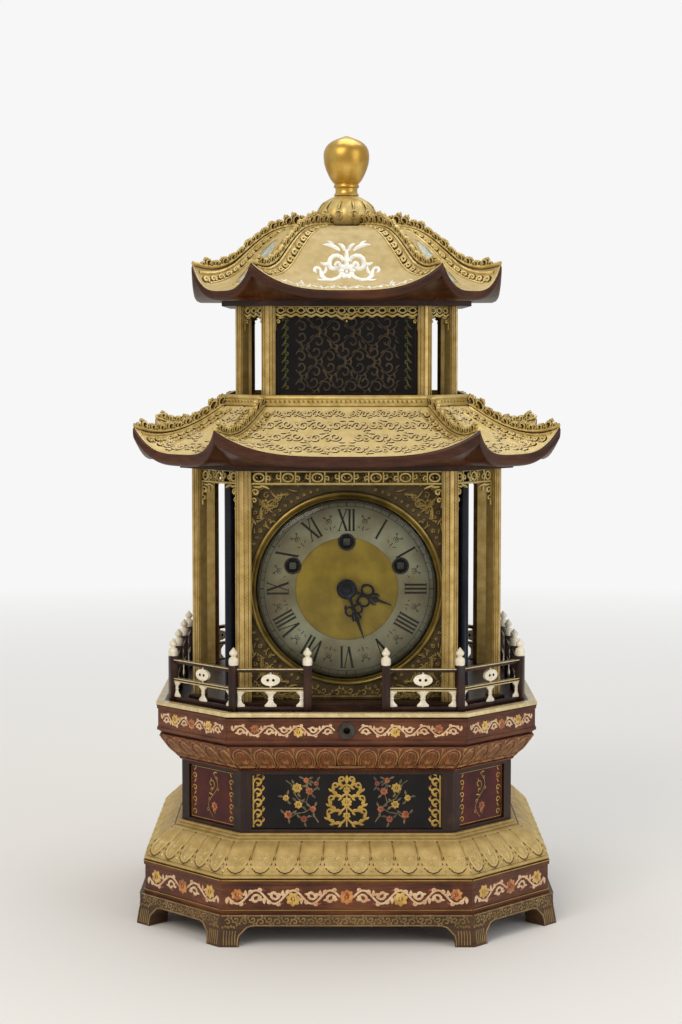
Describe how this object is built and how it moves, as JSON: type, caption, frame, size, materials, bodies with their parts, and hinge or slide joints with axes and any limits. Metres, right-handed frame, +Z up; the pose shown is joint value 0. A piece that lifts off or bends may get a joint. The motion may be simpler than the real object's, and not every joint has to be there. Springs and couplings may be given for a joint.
{
  "type": "pavilion table clock",
  "caption": "Table clock shaped as a pavilion with a lower and an upper storey, flared gilt roofs, a railed deck, a lotus base with a drawer and a round dial.",
  "frame": {"origin": "middle of the base, on the surface the feet stand on", "axes": "+Z up; the dial faces -Y; +X is to the right seen from the front"},
  "size_m": [0.3822, 0.3822, 0.7182],
  "materials": {
    "hardwood": "dark purple-brown hardwood, waxed",
    "inlaid_wood": "red-brown hardwood inlaid with pale scrolls, waxed",
    "lotus_wood": "carved wood with worn gilding",
    "black_lacquer": "black lacquer with gilt decoration",
    "gilt_brass": "fire gilt, slightly worn",
    "roof_gilt": "carved wood, cream and gold",
    "silvered_brass": "silvered, matt",
    "plate_brass": "polished brass",
    "blued_steel": "blued, dark",
    "steel": "polished steel",
    "glass": "clear, convex"
  },
  "bodies": {
    "structure": {"foot_frame": "hardwood", "lower_frieze": "inlaid_wood", "lower_lotus_band": "lotus_wood", "waist_frame": "hardwood", "waist_panel_front": "black_lacquer", "waist_panel_right": "black_lacquer", "waist_panel_rear": "black_lacquer", "waist_panel_left": "black_lacquer", "upper_lotus_band": "lotus_wood", "upper_frieze": "inlaid_wood", "drawer_board": "hardwood", "deck": "hardwood", "balustrade_right": "hardwood", "balustrade_left": "hardwood", "storey_sill": "hardwood", "column_front_left": "gilt_brass", "column_front_right": "gilt_brass", "column_right_front": "gilt_brass", "column_right_rear": "gilt_brass", "column_rear_right": "gilt_brass", "column_rear_left": "gilt_brass", "column_left_rear": "gilt_brass", "column_left_front": "gilt_brass", "lower_valance": "gilt_brass", "lower_ceiling": "hardwood", "clock_case": "hardwood", "dial_plate": "plate_brass", "chapter_ring": "silvered_brass", "bezel": "gilt_brass", "bezel_glass": "glass", "movement_front_plate": "plate_brass", "movement_back_plate": "plate_brass", "bell": "plate_brass", "lower_roof": "roof_gilt", "lower_ridge": "gilt_brass", "upper_roof": "roof_gilt", "upper_ridge": "gilt_brass", "finial": "gilt_brass", "upper_floor": "hardwood", "upper_case": "black_lacquer", "upper_colonnade": "gilt_brass", "upper_ceiling": "hardwood"},
    "drawer": {"drawer_front": "inlaid_wood", "drawer_tray": "hardwood", "drawer_escutcheon": "gilt_brass"},
    "door": {"rear_door": "hardwood"},
    "minute": {"minute_hand": "blued_steel", "centre_wheel": "plate_brass"},
    "hour": {"hour_hand": "blued_steel"},
    "third": {"third_wheel": "plate_brass"},
    "escape": {"escape_wheel": "plate_brass"},
    "anchor_body": {"anchor": "steel"},
    "pendulum_body": {"pendulum": "plate_brass"},
    "going": {"barrel_going": "plate_brass"},
    "strike": {"barrel_strike": "plate_brass"},
    "chime": {"barrel_chime": "plate_brass"},
    "going_arbor": {"winding_arbor_going": "steel"},
    "strike_arbor": {"winding_arbor_strike": "steel"},
    "chime_arbor": {"winding_arbor_chime": "steel"}
  },
  "joints": [
    {"name": "drawer_slide", "type": "slide", "parent": "structure", "child": "drawer", "axis": [0, -1, 0], "range_m": [0, 0.15]},
    {"name": "rear_door_hinge", "type": "hinge", "parent": "structure", "child": "door", "pos_m": [-0.083, 0.118, 0.321], "axis": [0, 0, 1], "range_deg": [0, 88]},
    {"name": "minute_spin", "type": "hinge", "parent": "structure", "child": "minute", "pos_m": [0, -0.11, 0.307], "axis": [0, 1, 0], "continuous": true},
    {"name": "hour_spin", "type": "hinge", "parent": "structure", "child": "hour", "pos_m": [0, -0.126, 0.307], "axis": [0, 1, 0], "continuous": true},
    {"name": "third_spin", "type": "hinge", "parent": "structure", "child": "third", "pos_m": [0.01716, -0.0571, 0.28655], "axis": [0, 1, 0], "continuous": true},
    {"name": "escape_spin", "type": "hinge", "parent": "structure", "child": "escape", "pos_m": [0, -0.0322, 0.27608], "axis": [0, 1, 0], "continuous": true},
    {"name": "going_barrel_spin", "type": "hinge", "parent": "structure", "child": "going", "pos_m": [0, -0.075, 0.349], "axis": [0, 1, 0], "continuous": true},
    {"name": "strike_barrel_spin", "type": "hinge", "parent": "structure", "child": "strike", "pos_m": [-0.048, -0.075, 0.3276], "axis": [0, 1, 0], "continuous": true},
    {"name": "chime_barrel_spin", "type": "hinge", "parent": "structure", "child": "chime", "pos_m": [0.048, -0.075, 0.3276], "axis": [0, 1, 0], "continuous": true},
    {"name": "going_winding", "type": "hinge", "parent": "structure", "child": "going_arbor", "pos_m": [0, -0.1, 0.349], "axis": [0, 1, 0], "continuous": true},
    {"name": "strike_winding", "type": "hinge", "parent": "structure", "child": "strike_arbor", "pos_m": [-0.048, -0.1, 0.3276], "axis": [0, 1, 0], "continuous": true},
    {"name": "chime_winding", "type": "hinge", "parent": "structure", "child": "chime_arbor", "pos_m": [0.048, -0.1, 0.3276], "axis": [0, 1, 0], "continuous": true},
    {"name": "pendulum_swing", "type": "hinge", "parent": "structure", "child": "pendulum_body", "pos_m": [0, -0.023, 0.29708], "axis": [0, 1, 0], "range_deg": [-4, 4]},
    {"name": "anchor_rock", "type": "hinge", "parent": "structure", "child": "anchor_body", "pos_m": [0, -0.0312, 0.29708], "axis": [0, 1, 0], "range_deg": [-4, 4]}
  ],
  "couplings": [
    {"joint": "hour_spin", "follows": "minute_spin", "ratio": 0.083333},
    {"joint": "third_spin", "follows": "minute_spin", "ratio": -8.75},
    {"joint": "escape_spin", "follows": "minute_spin", "ratio": 76.562},
    {"joint": "going_barrel_spin", "follows": "minute_spin", "ratio": -0.16667},
    {"joint": "anchor_rock", "follows": "pendulum_swing", "ratio": 1}
  ]
}
